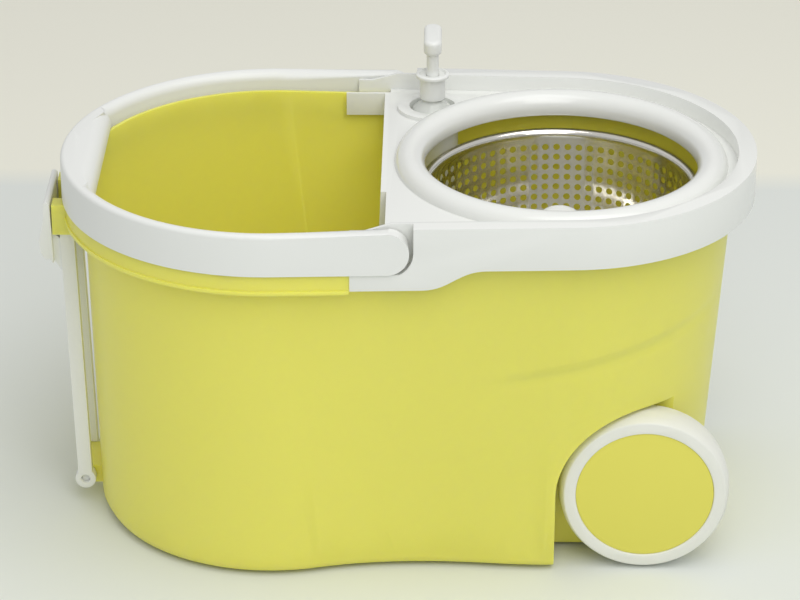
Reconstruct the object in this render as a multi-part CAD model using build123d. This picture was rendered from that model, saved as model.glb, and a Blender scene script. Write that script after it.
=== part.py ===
"""Spin-mop bucket on wheels, as an assembly of separate pieces.

X runs along the bucket (wash side at -X, spin side at +X), Y is its depth (front at -Y), Z is up.
The origin lies on the floor, below the middle of the bucket.
"""
from build123d import *
from math import asin, cos, pi, radians, sin, tan
import os

# Plan of the bucket: two rounds joined by their common tangents
WASH_X = -91.4
SPIN_X = 117.6
RIM_R_WASH = 149.0
RIM_R_SPIN = 140.0
FAR = 600.0

# Tub
WALL = 2.6
TUB_R_WASH_TOP = RIM_R_WASH - 13.0
TUB_R_SPIN_TOP = RIM_R_SPIN - 15.0
TUB_R_WASH_LOW = TUB_R_WASH_TOP - 5.5
TUB_R_SPIN_LOW = TUB_R_SPIN_TOP - 5.5
SPIN_LOW_X = SPIN_X - 12.0
WAIST_X = SPIN_X - 71.0
WAIST_HALF_LOW = TUB_R_SPIN_LOW - 3.5
WAIST_ANGLE = 74.0
TUB_BOTTOM_Z = 4.0
TUB_HEEL = 6.0
TUB_TOP_Z = 269.0
FLOOR_T = 3.0
BAND_TOP_Z = TUB_TOP_Z - 19.0
BAND_LOW_Z = BAND_TOP_Z - 14.0
BAND_T = 2.6
BEAD_R = 1.3
BAND_END_X = WASH_X + 60.0

# Wheels and their wells
WHEEL_X = SPIN_X + 61.1
WHEEL_R = 61.5
WHEEL_FACE_R = WHEEL_R - 3.5
TREAD_CROWN = 1.2
DISC_R = WHEEL_FACE_R - 8.5
DISC_T = 2.2
DISC_SINK = 0.6
WELL_CLEAR = 2.8
WELL_Y = 84.0
AXLE_R = 5.0
AXLE_FIT = 0.05
BOSS_R = 11.0
BOSS_IN = 14.0
BOSS_OUT = 2.6
END_PLAY = 0.4
WHEEL_W = 28.2
WHEEL_FACE_Y = WELL_Y + BOSS_OUT + END_PLAY + WHEEL_W
CLIP_R = 9.0
CLIP_T = 1.2
WEB_T = 9.0
WEB_HUB_R = 14.0

# Cover over the spin side
SKIRT_T = 2.4
SKIRT_LOW_Z = BAND_LOW_Z + 2.0
SKIRT_HIGH_Z = SKIRT_LOW_Z + 14.0
SKIRT_TOP_Z = TUB_TOP_Z + 15.0
SKIRT_STEP_X0 = WASH_X + 110.0
SKIRT_STEP_X1 = SKIRT_STEP_X0 + 44.0
LEDGE_T = 2.6
CHEEK_OUT = 10.3
CHEEK_T = 2.5
DECK_T = 2.6
DECK_EDGE_X = WASH_X + 84.2
SPLASH_OUT = 4.0
SPLASH_DROP = 46.0
SPLASH_LEAN = 2.0
SPLASH_HALF = TUB_R_WASH_TOP - 12.0
SPLASH_FRONT = 55.0
COLLAR_HOLE_R = 99.6
COLLAR_CREST_R = COLLAR_HOLE_R + 10.0
COLLAR_BASE_R = COLLAR_HOLE_R + 20.4
COLLAR_CREST_Z = TUB_TOP_Z + 12.5
COLLAR_LIP_Z = TUB_TOP_Z - 4.0
COLLAR_T = 2.6
TONGUE_LEN = 33.0
TONGUE_DROP = 15.0
TONGUE_T = 2.2
SEAT_GAP = 0.4

# Carry handle
PIVOT_X = WASH_X + 86.0
PIVOT_Z = BAND_TOP_Z + 16.0
NOSE_R = 15.4
NOSE_CLEAR = 2.8
HANDLE_PROUD = 2.0
HANDLE_IN = 8.6
HANDLE_SKIN = 2.4
PAD_REACH = 25.8
PAD_DROP = 7.4
PAD_T = 4.9
PAD_EDGE_T = 3.4
PIN_R = 4.0
PIN_FIT = 0.08
PIN_IN_HANDLE = 7.0

# Pull handle: it swings out about a rod near the floor and rests in two clips under the rim
ARM_Y = 23.0
ARM_W = 10.3
ARM_D = 8.0
ARM_LEAN = 1.52
ARM_PIVOT_X = WASH_X - RIM_R_WASH + 7.8
ARM_PIVOT_Z = 22.2
ARM_LEN = BAND_TOP_Z - ARM_PIVOT_Z - 6.3
EYE_R = 7.6
ROD_R = 3.3
ROD_FIT = 0.06
BRACKET_R = 7.0
CATCH_REACH = 7.5
CATCH_H = 22.8
CATCH_ROOF = 3.2
CATCH_WALL = 2.4
CATCH_CLEAR = 0.4
GRIP_LEN = 60.0
GRIP_LOW = 168.5
GRIP_HIGH = 226.0
GRIP_BACK = 10.7
GRIP_OUT = 20.3
GRIP_TOP_OUT = 16.0
NECK_D = 5.6
NECK_LOW = 172.0
NECK_H = 26.0

# Spin basket and its spindle
BASKET_RIM_Z = COLLAR_LIP_Z - 14.0
BASKET_RIM_R = COLLAR_HOLE_R - 1.6
ROLL_R = 4.2
BASKET_T = 0.8
BASKET_FLOOR_Z = 152.0
BASKET_FLOOR_R = BASKET_RIM_R - 9.0
HOLE_R = 3.4
HOLE_ROWS = 6
HOLE_COUNT = 36
DRAIN_R = 3.2
DRAIN_COUNT = 12
DRAIN_RING = 64.0
HUB_TOP_Z = 233.0
HUB_TOP_R = 15.0
HUB_LOW_R = 22.0
HUB_FLANGE_R = 40.0
HUB_FLANGE_T = 4.0
HUB_T = 3.0
BASE_R = 44.0
BASE_T = 6.0
SPINDLE_R = 5.0
SPINDLE_FIT = 0.05
SPINDLE_SINK = 40.0
BUSH_R = 9.0
BUSH_LEN = 14.0
WASHER_T = 1.2
POST_TOP_R = 15.0
POST_LOW_R = 30.0
POST_T = 3.0
SCREW_RING = 31.0
SCREW_R = 1.9
SCREW_HEAD_R = 3.6
SCREW_HEAD_T = 2.4

# Soap bottle and its pump
SOAP_X = SPIN_X - 93.0
SOAP_Y = 95.0
POCKET_R = 17.2
POCKET_T = 2.0
POCKET_RING_R = 26.0
POCKET_RISE = 3.0
POCKET_FLOOR_Z = 160.0
BOTTLE_GAP = 1.0
BOTTLE_T = 1.2
BOTTLE_SHOULDER_Z = TUB_TOP_Z - 1.0
NECK_R = 7.6
NECK_TOP_Z = BOTTLE_SHOULDER_Z + 26.0
CLOSURE_R = NECK_R + 1.8
CLOSURE_LOW_Z = NECK_TOP_Z - 13.0
CLOSURE_TOP_Z = NECK_TOP_Z + 6.0
FLANGE_R = CLOSURE_R + 3.0
FLANGE_T = 3.0
STEM_R = 4.5
STEM_TOP_Z = CLOSURE_TOP_Z + 19.0
CYLINDER_R = NECK_R - 1.5
CYLINDER_T = 1.0
CYLINDER_LOW_Z = NECK_TOP_Z - 42.0
PRESS = 12.0
HEAD_R = STEM_R + 2.7
HEAD_SKIRT_H = 5.5
HEAD_TOP_T = 6.0
HEAD_TOP_Z = STEM_TOP_Z + 8.0
SPOUT_REACH = 34.0
SPOUT_W = 11.0
SPOUT_TIP_W = 7.0
SPRING_R = 3.1
SPRING_WIRE_R = 0.45
SPRING_TURNS = 5
DIP_R = 2.2
DIP_BORE_R = 1.3
DIP_LOW_Z = POCKET_FLOOR_Z + 6.0
RUN = 0.3

# Feet
FOOT_R = 11.0
FOOT_PLUG_R = 4.0
FOOT_SPOTS = [(WASH_X - 67.0, 58.0), (SPIN_X - 41.0, 74.0)]

# Worked out
AXLE_Z = WHEEL_R
WELL_R = WHEEL_R + WELL_CLEAR
DECK_Z = TUB_TOP_Z + DECK_T
CHEEK_IN = CHEEK_OUT + CHEEK_T
HANDLE_LOW_Z = PIVOT_Z - NOSE_R
HANDLE_TOP_Z = PIVOT_Z + NOSE_R
CATCH_TOP_Z = BAND_TOP_Z - 2.4
POST_TOP_Z = BASKET_FLOOR_Z - BASE_T - WASHER_T - RUN
UP = (Align.CENTER, Align.CENTER, Align.MIN)


def egg(grow, z):
    """Face of the rim outline, made larger by grow, at height z."""
    return section(RIM_R_WASH + grow, RIM_R_SPIN + grow, z)


def section(wash_r, spin_r, z, waist=None, spin_x=SPIN_X):
    """Face of a plan section; waist is its half width where the sides draw in."""
    lean = asin((wash_r - spin_r) / (spin_x - WASH_X))
    wash_a = pi / 2 - lean if waist is None else radians(WAIST_ANGLE)
    spin_a = pi / 2 - lean if waist is None else pi / 2
    wash = (WASH_X + wash_r * cos(wash_a), wash_r * sin(wash_a))
    spin = (spin_x + spin_r * cos(spin_a), spin_r * sin(spin_a))
    ends = [ThreePointArc((wash[0], wash[1]), (WASH_X - wash_r, 0), (wash[0], -wash[1]))]
    ends += [ThreePointArc((spin[0], -spin[1]), (spin_x + spin_r, 0), (spin[0], spin[1]))]
    if waist is None:
        sides = [Line((wash[0], -wash[1]), (spin[0], -spin[1]))]
        sides += [Line((spin[0], spin[1]), (wash[0], wash[1]))]
    else:
        turn = (sin(wash_a), -cos(wash_a))
        sides = [Spline((wash[0], -wash[1]), (WAIST_X, -waist), (spin[0], -spin[1]),
                        tangents=[(turn[0], -turn[1]), (1, 0)])]
        sides += [Spline((spin[0], spin[1]), (WAIST_X, waist), (wash[0], wash[1]),
                         tangents=[(-1, 0), (-turn[0], -turn[1])])]
    outline = Wire([ends[0].edge(), sides[0].edge(), ends[1].edge(), sides[1].edge()])
    return Pos(0, 0, z) * Face(outline)


def egg_ring(outer, inner, z0, z1):
    """Upright ring between two offsets of the rim outline."""
    ring = extrude(egg(outer, z0), z1 - z0, dir=(0, 0, 1))
    return ring - extrude(egg(inner, z0 - 1), z1 - z0 + 2, dir=(0, 0, 1))


def side_prism(points_face, y0, y1):
    """Extrude a face drawn in X and Z from depth y0 to depth y1."""
    return Pos(0, y0, 0) * extrude(points_face, y1 - y0, dir=(0, 1, 0))


def xz_face(*edges):
    """Face from edges drawn as (x, z) in the plane Y = 0."""
    flat = make_face(Wire([e.edge() for e in edges]))
    return Plane.XZ * flat


def span(x0, x1, y0, y1, z0, z1):
    """Box between two corners."""
    middle = Pos((x0 + x1) / 2, (y0 + y1) / 2, (z0 + z1) / 2)
    return middle * Box(x1 - x0, y1 - y0, z1 - z0)


def rod(x, y, z, radius, length, axis="Z"):
    """Cylinder that starts at a point and runs along one axis."""
    turn = {"Z": Rot(0, 0, 0), "Y": Rot(-90, 0, 0), "X": Rot(0, 90, 0)}[axis]
    return Pos(x, y, z) * turn * Cylinder(radius, length, align=UP)


def turned(*points):
    """Revolve a closed outline of (radius, z) points about Z."""
    outline = make_face(Polyline(*points, close=True))
    return revolve(Plane.XZ * outline, Axis.Z)


def one(shape, name):
    """Return the single solid of a shape, and stop if it is in pieces."""
    solids = shape.solids()
    if len(solids) != 1:
        raise ValueError(name + " has " + str(len(solids)) + " solids")
    return solids[0]


PARTS = {}


def keep(name, shape):
    """Keep a finished piece under its node name."""
    PARTS[name] = shape


# Tub: drafted shell, waisted at the foot, with wheel wells, rim band, spindle post and catches
def tub_form(inset, floor_z):
    """Solid form of the tub, drawn in by inset, that starts at floor_z."""
    low_z = floor_z + TUB_HEEL
    heel = inset + TUB_HEEL / 2
    foot = section(TUB_R_WASH_LOW - heel, TUB_R_SPIN_LOW - heel, floor_z, WAIST_HALF_LOW - heel, SPIN_LOW_X)
    low = section(TUB_R_WASH_LOW - inset, TUB_R_SPIN_LOW - inset, low_z, WAIST_HALF_LOW - inset, SPIN_LOW_X)
    top = section(TUB_R_WASH_TOP - inset, TUB_R_SPIN_TOP - inset, TUB_TOP_Z)
    return loft([foot, low], ruled=True) + loft([low, top], ruled=True)


def well_form(grow, side):
    """Wheel well with a flat roof, larger by grow, on the front (-1) or rear (1) side."""
    radius = WELL_R + grow
    edge = WHEEL_X - radius
    roof = AXLE_Z + radius
    quarter = radius * sin(pi / 4)
    arch = ThreePointArc((edge, AXLE_Z), (WHEEL_X - quarter, AXLE_Z + quarter), (WHEEL_X, roof))
    face = xz_face(Line((edge, -FAR), (edge, AXLE_Z)), arch, Line((WHEEL_X, roof), (FAR, roof)),
                   Line((FAR, roof), (FAR, -FAR)), Line((FAR, -FAR), (edge, -FAR)))
    prism = side_prism(face, WELL_Y - grow, FAR)
    return prism if side > 0 else mirror(prism, Plane.XZ)


def arm_place(along):
    """Location on the line of the pull handle's arms, that far above its pivot and turned with it."""
    lean = radians(ARM_LEAN)
    return Pos(ARM_PIVOT_X - along * sin(lean), 0, ARM_PIVOT_Z + along * cos(lean)) * Rot(0, -ARM_LEAN, 0)


def catch(side):
    """Catch under the rim that holds the top of one arm, and the slot in it, open to the outside."""
    half = ARM_D / 2 + CATCH_CLEAR
    low = CATCH_TOP_Z - CATCH_H
    slot_back = ARM_PIVOT_X - (low - ARM_PIVOT_Z) * tan(radians(ARM_LEAN)) + ARM_W / 2 + CATCH_CLEAR
    y = side * ARM_Y
    block = span(WASH_X - RIM_R_WASH - CATCH_REACH, WASH_X - TUB_R_WASH_LOW + WALL, y - half - CATCH_WALL,
                 y + half + CATCH_WALL, low, CATCH_TOP_Z)
    slot = span(-FAR, slot_back, y - half, y + half, 0, CATCH_TOP_Z - CATCH_ROOF)
    return block, slot


outer_form = tub_form(0, TUB_BOTTOM_Z)
inner_form = tub_form(WALL, TUB_BOTTOM_Z + FLOOR_T)
tub = outer_form - inner_form
for side in (-1, 1):
    tub += well_form(WALL, side) & outer_form
for side in (-1, 1):
    tub -= well_form(0, side)
post = turned((0, TUB_BOTTOM_Z), (POST_LOW_R, TUB_BOTTOM_Z), (POST_TOP_R, POST_TOP_Z), (0, POST_TOP_Z))
post_core = turned((0, TUB_BOTTOM_Z - 1), (POST_LOW_R - POST_T, TUB_BOTTOM_Z - 1),
                   (POST_TOP_R - POST_T, POST_TOP_Z - SPINDLE_SINK - POST_T),
                   (0, POST_TOP_Z - SPINDLE_SINK - POST_T))
tub += Pos(SPIN_X, 0, 0) * post
tub -= Pos(SPIN_X, 0, 0) * post_core
tub -= rod(SPIN_X, 0, POST_TOP_Z - SPINDLE_SINK, SPINDLE_R, SPINDLE_SINK + 1)
for side in (-1, 1):
    boss = rod(WHEEL_X, side * (WELL_Y + BOSS_OUT), AXLE_Z, BOSS_R, BOSS_OUT + BOSS_IN, "Y")
    boss = boss if side < 0 else Pos(0, -BOSS_OUT - BOSS_IN, 0) * boss
    tub += boss
    hole_y = -WELL_Y - BOSS_OUT - 1 if side < 0 else WELL_Y + BOSS_OUT + 1 - BOSS_IN
    tub -= rod(WHEEL_X, hole_y, AXLE_Z, AXLE_R, BOSS_IN, "Y")
wash_half = span(-FAR, BAND_END_X, -FAR, FAR, 0, FAR)
wall_gap = RIM_R_WASH - TUB_R_WASH_TOP + WALL / 2
band = egg_ring(0, -BAND_T, BAND_LOW_Z, BAND_TOP_Z)
band += egg_ring(BEAD_R, -BAND_T, BAND_LOW_Z, BAND_LOW_Z + 2 * BEAD_R)
band += egg_ring(0, -wall_gap, BAND_TOP_Z - BAND_T, BAND_TOP_Z) - inner_form
tub += band & wash_half
for side in (-1, 1):
    block, slot = catch(side)
    tub += block - inner_form
    tub -= slot
bracket_half = ARM_Y - ARM_D / 2 - CATCH_CLEAR
bracket = rod(ARM_PIVOT_X, -bracket_half, ARM_PIVOT_Z, BRACKET_R, 2 * bracket_half, "Y")
bracket += span(ARM_PIVOT_X, WASH_X - TUB_R_WASH_LOW + 2 * WALL, -bracket_half, bracket_half,
                ARM_PIVOT_Z - BRACKET_R, ARM_PIVOT_Z + BRACKET_R)
tub += bracket - inner_form
tub -= rod(ARM_PIVOT_X, -bracket_half - 1, ARM_PIVOT_Z, ROD_R, 2 * bracket_half + 2, "Y")
for x, y in FOOT_SPOTS:
    for side in (-1, 1):
        tub -= rod(x, side * y, TUB_BOTTOM_Z - 1, FOOT_PLUG_R, FLOOR_T * 0.7 + 1)
keep("tub", one(tub, "tub"))

# Feet: four pads plugged into the tub's floor
feet = []
for x, y in FOOT_SPOTS:
    for side in (-1, 1):
        pad = rod(x, side * y, 0, FOOT_R, TUB_BOTTOM_Z)
        feet.append(pad + rod(x, side * y, TUB_BOTTOM_Z, FOOT_PLUG_R, FLOOR_T * 0.7 - 0.1))
keep("foot_pads", Compound(children=[f.solid() for f in feet]))

# Wheels: crowned tyre on a web, with a coloured disc, a stub axle and a push-on clip
def wheel_half():
    """Wheel whose face looks along -Z, with its face at Z = 0."""
    seat = DISC_SINK + DISC_T
    web = seat + END_PLAY + CLIP_T + END_PLAY
    bore = AXLE_R + AXLE_FIT
    points = [(bore, web), (CLIP_R + 1, web), (CLIP_R + 1, seat), (DISC_R, seat), (DISC_R, 0)]
    points += [(WHEEL_FACE_R, 0), (WHEEL_R - TREAD_CROWN, 5), (WHEEL_R, WHEEL_W * 0.5)]
    points += [(WHEEL_R - TREAD_CROWN, WHEEL_W - 3), (WHEEL_FACE_R, WHEEL_W), (DISC_R, WHEEL_W)]
    points += [(DISC_R, seat + WEB_T), (WEB_HUB_R, seat + WEB_T), (WEB_HUB_R, WHEEL_W), (bore, WHEEL_W)]
    return turned(*points)


for side, tag in ((-1, "front"), (1, "rear")):
    face = Pos(WHEEL_X, side * WHEEL_FACE_Y, AXLE_Z) * Rot(-90 * -side, 0, 0)
    keep("wheel_" + tag, one(face * wheel_half(), "wheel"))
    dome = turned((0, 0.0), (DISC_R - 3, 0.0), (DISC_R - 0.1, 0.5), (DISC_R - 0.1, DISC_T), (0, DISC_T))
    keep("wheel_disc_" + tag, (face * Pos(0, 0, DISC_SINK) * dome).solid())
    tip = DISC_SINK + DISC_T + END_PLAY
    root = WHEEL_FACE_Y - WELL_Y - BOSS_OUT + BOSS_IN - 1
    keep("stub_axle_" + tag, (face * Pos(0, 0, tip) * Cylinder(AXLE_R, root - tip, align=UP)).solid())
    clip = Cylinder(CLIP_R, CLIP_T, align=UP) - Cylinder(AXLE_R, CLIP_T, align=UP)
    keep("axle_clip_" + tag, (face * Pos(0, 0, tip) * clip).solid())

# Spin cover: skirt, ledge, cheeks, deck, splash wall, glossy collar and the soap pocket
def skirt_cut():
    """What is taken off the skirt's lower edge: a step up, by a smooth S, on the spin side."""
    mid_x = (SKIRT_STEP_X0 + SKIRT_STEP_X1) / 2
    mid_z = (SKIRT_LOW_Z + SKIRT_HIGH_Z) / 2
    step = Spline((SKIRT_STEP_X0, SKIRT_LOW_Z), (mid_x, mid_z), (SKIRT_STEP_X1, SKIRT_HIGH_Z),
                  tangents=[(1, 0), (1, 0)])
    low = SKIRT_LOW_Z - 10
    face = xz_face(step, Line((SKIRT_STEP_X1, SKIRT_HIGH_Z), (FAR, SKIRT_HIGH_Z)),
                   Line((FAR, SKIRT_HIGH_Z), (FAR, low)), Line((FAR, low), (SKIRT_STEP_X0, low)),
                   Line((SKIRT_STEP_X0, low), (SKIRT_STEP_X0, SKIRT_LOW_Z)))
    return side_prism(face, -FAR, FAR)


def handle_zone(clear):
    """Space of the carry handle's ends, lying down and upright, larger by clear."""
    radius = NOSE_R + clear
    nose = rod(PIVOT_X, -FAR, PIVOT_Z, radius, 2 * FAR, "Y")
    lying = span(-FAR, PIVOT_X, -FAR, FAR, PIVOT_Z - radius, FAR)
    upright = span(PIVOT_X - radius, PIVOT_X + radius, -FAR, FAR, PIVOT_Z, FAR)
    return nose + lying + upright


spin_half = span(BAND_END_X + SEAT_GAP, FAR, -FAR, FAR, 0, FAR)
before_step = span(BAND_END_X, SKIRT_STEP_X0, -FAR, FAR, 0, FAR)
skirt = egg_ring(0, -SKIRT_T, SKIRT_LOW_Z, SKIRT_TOP_Z) - skirt_cut() - handle_zone(NOSE_CLEAR)
ledge = egg_ring(0, -CHEEK_IN, SKIRT_TOP_Z - LEDGE_T, SKIRT_TOP_Z) - handle_zone(NOSE_CLEAR)
cheek = egg_ring(-CHEEK_OUT, -CHEEK_IN, BAND_TOP_Z + SEAT_GAP, SKIRT_TOP_Z)
shelf = egg_ring(0, -CHEEK_IN, BAND_TOP_Z - SKIRT_T, BAND_TOP_Z) & before_step
cheek_foot = egg_ring(-CHEEK_OUT, -CHEEK_IN, BAND_TOP_Z - SKIRT_T, BAND_TOP_Z + SEAT_GAP)
cheek += cheek_foot & before_step
shoulder = xz_face(Line((BAND_END_X - 5, SKIRT_TOP_Z + 5), (BAND_END_X - 5, HANDLE_TOP_Z - 3)),
                   Line((BAND_END_X - 5, HANDLE_TOP_Z - 3), (PIVOT_X - NOSE_R, HANDLE_TOP_Z - 3)),
                   Line((PIVOT_X - NOSE_R, HANDLE_TOP_Z - 3), (PIVOT_X + 3, SKIRT_TOP_Z)),
                   Line((PIVOT_X + 3, SKIRT_TOP_Z), (PIVOT_X + 3, SKIRT_TOP_Z + 5)),
                   Line((PIVOT_X + 3, SKIRT_TOP_Z + 5), (BAND_END_X - 5, SKIRT_TOP_Z + 5)))
cheek -= side_prism(shoulder, -FAR, FAR)
deck = extrude(egg(-CHEEK_IN + 0.5, TUB_TOP_Z), DECK_T, dir=(0, 0, 1))
deck = deck & span(DECK_EDGE_X, FAR, -FAR, FAR, 0, FAR)
deck -= rod(SPIN_X, 0, TUB_TOP_Z - 5, COLLAR_BASE_R - 1, 20)
cover = (skirt + ledge + cheek + shelf) & spin_half
cover += deck

collar_root = COLLAR_BASE_R - COLLAR_T
collar_lip = COLLAR_HOLE_R + COLLAR_T
collar_out = ThreePointArc((COLLAR_BASE_R, DECK_Z), (COLLAR_CREST_R, COLLAR_CREST_Z),
                           (COLLAR_HOLE_R, COLLAR_LIP_Z))
collar_in = ThreePointArc((collar_lip, COLLAR_LIP_Z), (COLLAR_CREST_R, COLLAR_CREST_Z - COLLAR_T),
                          (collar_root, TUB_TOP_Z))
collar_face = xz_face(collar_out, Line((COLLAR_HOLE_R, COLLAR_LIP_Z), (collar_lip, COLLAR_LIP_Z)), collar_in,
                      Line((collar_root, TUB_TOP_Z), (COLLAR_BASE_R, TUB_TOP_Z)),
                      Line((COLLAR_BASE_R, TUB_TOP_Z), (COLLAR_BASE_R, DECK_Z)))
cover += Pos(SPIN_X, 0, 0) * revolve(collar_face, Axis.Z)


def splash_wall(edge_x, y0, y1):
    """Wall that hangs from the deck at edge_x, between two depths."""
    low_z = TUB_TOP_Z - SPLASH_DROP
    low_x = edge_x - SPLASH_LEAN
    back_x = DECK_EDGE_X + DECK_T
    outline = Polyline((edge_x, DECK_Z), (low_x, low_z), (low_x + DECK_T, low_z),
                       (edge_x + DECK_T, TUB_TOP_Z), (back_x, TUB_TOP_Z), (back_x, DECK_Z), close=True)
    return side_prism(Plane.XZ * make_face(outline), y0, y1)


splash_x = DECK_EDGE_X - SPLASH_OUT
cover += splash_wall(DECK_EDGE_X - 0.01, -SPLASH_HALF, -SPLASH_FRONT)
cover += splash_wall(splash_x, -SPLASH_FRONT, SPLASH_HALF)
cover += span(splash_x, DECK_EDGE_X + DECK_T / 2, -SPLASH_FRONT, DECK_T - SPLASH_FRONT,
              TUB_TOP_Z - SPLASH_DROP, DECK_Z)

pocket_ring = rod(SOAP_X, SOAP_Y, TUB_TOP_Z, POCKET_RING_R, POCKET_RISE + DECK_T)
pocket_ring -= rod(SPIN_X, 0, TUB_TOP_Z - 5, COLLAR_BASE_R - COLLAR_T, 40)
pocket_cup = rod(SOAP_X, SOAP_Y, POCKET_FLOOR_Z - POCKET_T, POCKET_R + POCKET_T, DECK_Z - POCKET_FLOOR_Z)
cover += pocket_ring
cover += pocket_cup
cover -= rod(SOAP_X, SOAP_Y, POCKET_FLOOR_Z, POCKET_R, 200)
for side in (-1, 1):
    bore_y = SPLASH_HALF + TONGUE_T + 1
    cover -= rod(PIVOT_X, bore_y if side > 0 else -bore_y - FAR, PIVOT_Z, PIN_R, FAR, "Y")
    tongue_y = side * SPLASH_HALF
    tongue_end = tongue_y + side * TONGUE_T
    cover += span(DECK_EDGE_X - TONGUE_LEN, DECK_EDGE_X + DECK_T, min(tongue_y, tongue_end),
                  max(tongue_y, tongue_end), TUB_TOP_Z - TONGUE_DROP, DECK_Z)
keep("spin_cover", one(cover, "spin_cover"))

# Carry handle: a channelled band that lies on the rim, with a grip pad and two pivot pins
def rim_half(x):
    """Half width of the rim outline where its sides are straight."""
    lean = asin((RIM_R_WASH - RIM_R_SPIN) / (SPIN_X - WASH_X))
    return (RIM_R_WASH - (x - WASH_X) * sin(lean)) / cos(lean)


handle_side = rod(PIVOT_X, -FAR, PIVOT_Z, NOSE_R, 2 * FAR, "Y")
handle_side += span(-FAR, PIVOT_X, -FAR, FAR, HANDLE_LOW_Z, HANDLE_TOP_Z)
handle = egg_ring(HANDLE_PROUD, -HANDLE_IN, HANDLE_LOW_Z, HANDLE_TOP_Z) & handle_side
rim_x = WASH_X - RIM_R_WASH
pad_root = rim_x + HANDLE_IN
pad_edge = rim_x + PAD_REACH
pad_edge_z = HANDLE_TOP_Z - PAD_DROP
pad_side = Polyline((rim_x, HANDLE_TOP_Z), (pad_root, HANDLE_TOP_Z), (pad_edge, pad_edge_z),
                    (pad_edge, pad_edge_z - PAD_EDGE_T), (pad_root, HANDLE_TOP_Z - PAD_T),
                    (rim_x, HANDLE_TOP_Z - PAD_T), close=True)
pad = side_prism(Plane.XZ * make_face(pad_side), -RIM_R_WASH, RIM_R_WASH)
handle += pad & rod(WASH_X, 0, 0, RIM_R_WASH - HANDLE_IN / 2, FAR)
channel = egg_ring(HANDLE_PROUD - HANDLE_SKIN, HANDLE_SKIN - HANDLE_IN, HANDLE_LOW_Z - 1,
                   HANDLE_TOP_Z - HANDLE_SKIN)
handle -= channel & span(-FAR, PIVOT_X - 2 * NOSE_R, -FAR, FAR, 0, FAR)
pin_tip = rim_half(PIVOT_X) - HANDLE_IN + PIN_IN_HANDLE
pin_root = rim_half(PIVOT_X) - CHEEK_IN + 0.2
pins = []
for side in (-1, 1):
    inner_y = pin_root if side > 0 else -pin_tip
    hole_y = inner_y if side > 0 else inner_y - 0.3
    handle -= rod(PIVOT_X, hole_y, PIVOT_Z, PIN_R + PIN_FIT, pin_tip - pin_root + 0.3, "Y")
    pins.append(rod(PIVOT_X, inner_y, PIVOT_Z, PIN_R, pin_tip - pin_root, "Y").solid())
keep("carry_handle", one(handle, "carry_handle"))
keep("handle_pivot_pins", Compound(children=pins))

# Pull handle: a frame of two arms and an outer grip, that turns on a rod in the tub's bracket
grip_side = Spline((-GRIP_BACK, GRIP_LOW + 3), (-(GRIP_BACK + GRIP_OUT) / 2, GRIP_LOW),
                   (-GRIP_OUT, GRIP_LOW + 12),
                   (-(GRIP_OUT + GRIP_TOP_OUT) / 2, GRIP_LOW + 30), (-GRIP_TOP_OUT, GRIP_HIGH - 12),
                   ((-GRIP_BACK - GRIP_TOP_OUT) / 2, GRIP_HIGH), (-GRIP_BACK, GRIP_HIGH - 2))
grip_face = xz_face(grip_side, Line((-GRIP_BACK, GRIP_HIGH - 2), (-GRIP_BACK, GRIP_LOW + 3)))
pull = side_prism(grip_face, -GRIP_LEN / 2, GRIP_LEN / 2)
for side in (-1, 1):
    y = side * ARM_Y
    pull += span(-ARM_W / 2, ARM_W / 2, y - ARM_D / 2, y + ARM_D / 2, 0, ARM_LEN)
    pull += rod(0, y - ARM_D / 2, 0, EYE_R, ARM_D, "Y")
    pull += span(-GRIP_BACK - 2, 0, y - NECK_D / 2, y + NECK_D / 2, NECK_LOW, NECK_LOW + NECK_H)
rod_half = ARM_Y + ARM_D / 2 - 1
pull -= rod(0, -2 * rod_half, 0, ROD_R + ROD_FIT, 4 * rod_half, "Y")
keep("pull_handle", one(arm_place(0) * pull, "pull_handle"))
keep("pull_pivot_rod", rod(ARM_PIVOT_X, -rod_half, ARM_PIVOT_Z, ROD_R, 2 * rod_half, "Y").solid())

# Spin basket: perforated steel shell with a rolled rim, clamped between a hub and a base plate
spin_axis = Pos(SPIN_X, 0, 0)
wall_top_r = BASKET_RIM_R - ROLL_R + BASKET_T / 2
seat_z = BASKET_FLOOR_Z + BASKET_T
shell = turned((BUSH_R + 0.2, BASKET_FLOOR_Z), (BASKET_FLOOR_R, BASKET_FLOOR_Z), (wall_top_r, BASKET_RIM_Z),
               (wall_top_r - BASKET_T, BASKET_RIM_Z), (BASKET_FLOOR_R - BASKET_T, seat_z),
               (BUSH_R + 0.2, seat_z))
hole_band = BASKET_RIM_Z - ROLL_R - BASKET_FLOOR_Z
hole_pitch = hole_band / HOLE_ROWS
holes = []
for row in range(HOLE_ROWS):
    z = BASKET_FLOOR_Z + hole_pitch * (row + 0.55)
    rise = (z - BASKET_FLOOR_Z) / (BASKET_RIM_Z - BASKET_FLOOR_Z)
    r = BASKET_FLOOR_R + (wall_top_r - BASKET_FLOOR_R) * rise
    hexagon = extrude(RegularPolygon(HOLE_R, 6), 5 * BASKET_T, both=True)
    for i in range(HOLE_COUNT):
        holes.append(Rot(0, 0, 360 / HOLE_COUNT * i) * Pos(r, 0, z) * Rot(0, 90, 0) * hexagon)
for i in range(DRAIN_COUNT):
    hexagon = extrude(RegularPolygon(DRAIN_R, 6), 5 * BASKET_T, both=True)
    holes.append(Rot(0, 0, 360 / DRAIN_COUNT * i) * Pos(DRAIN_RING, 0, BASKET_FLOOR_Z) * hexagon)
screw_spots = [(SCREW_RING * cos(radians(a)), SCREW_RING * sin(radians(a))) for a in (45, 135, 225, 315)]
screw_low = BASKET_FLOOR_Z - BASE_T - 1
screw_bores = [rod(x, y, screw_low, SCREW_R, BASE_T + BASKET_T + HUB_FLANGE_T) for x, y in screw_spots]
shell = shell - holes - screw_bores
shell += Pos(0, 0, BASKET_RIM_Z) * Torus(BASKET_RIM_R, ROLL_R)
keep("basket_shell", one(spin_axis * shell, "basket_shell"))

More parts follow.
